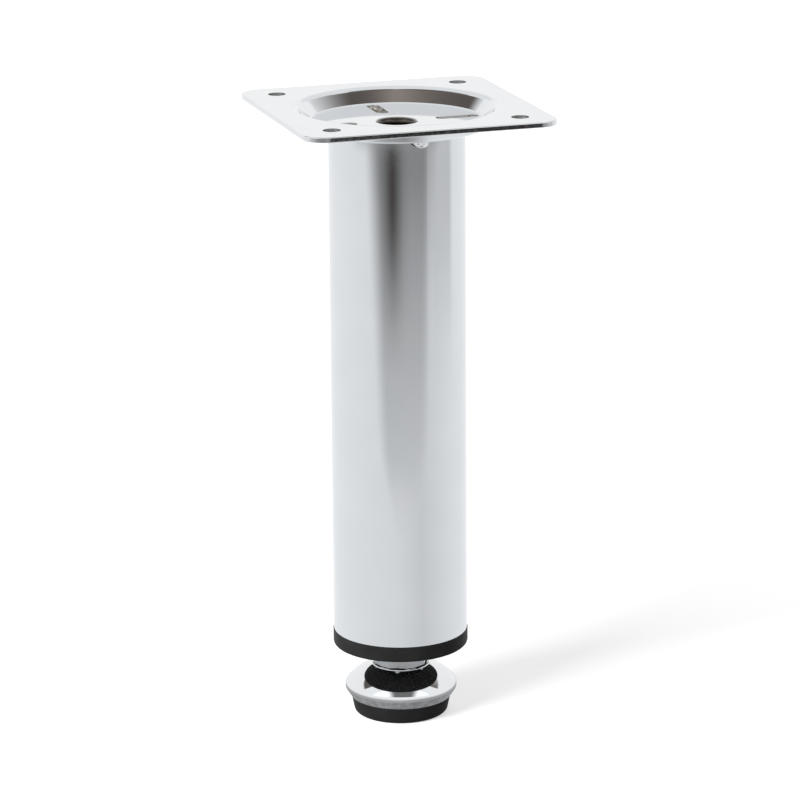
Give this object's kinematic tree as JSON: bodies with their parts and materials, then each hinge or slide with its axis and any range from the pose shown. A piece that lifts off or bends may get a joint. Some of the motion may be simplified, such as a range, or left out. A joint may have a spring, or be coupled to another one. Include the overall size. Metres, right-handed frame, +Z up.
{
  "type": "height adjustable table leg",
  "caption": "Round chromed furniture leg with a square dished mounting plate, a black end cap and a screw-adjusted chromed foot on a black base.",
  "frame": {"origin": "centre of the foot base's underside, on the floor", "axes": "+Z up along the tube's axis; the square mounting plate's sides run along X and Y"},
  "size_m": [0.094, 0.094, 0.2316],
  "materials": {
    "chrome_plating": "mirror chrome plating on steel",
    "bright_steel": "bright plated steel",
    "zinc_steel": "zinc plated steel",
    "black_plastic": "satin black moulded plastic"
  },
  "bodies": {
    "leg": {"mounting_plate": "chrome_plating", "leg_tube": "chrome_plating", "weld_seam": "chrome_plating", "end_cap": "black_plastic", "cap_nut": "zinc_steel"},
    "foot": {"foot_cup": "chrome_plating", "foot_base": "black_plastic"},
    "screw": {"adjusting_screw": "zinc_steel", "spanner_nut": "bright_steel", "retaining_ring": "zinc_steel"}
  },
  "joints": [
    {"name": "foot_height", "type": "slide", "parent": "leg", "child": "foot", "axis": [0, 0, -1], "range_m": [-0.00175, 0.0175]},
    {"name": "screw_turn", "type": "hinge", "parent": "foot", "child": "screw", "pos_m": [0, 0, 0.0192], "axis": [0, 0, -1], "range_deg": [-360, 3600]}
  ],
  "couplings": [
    {"joint": "screw_turn", "follows": "foot_height", "rad_per_m": 3590.4}
  ]
}
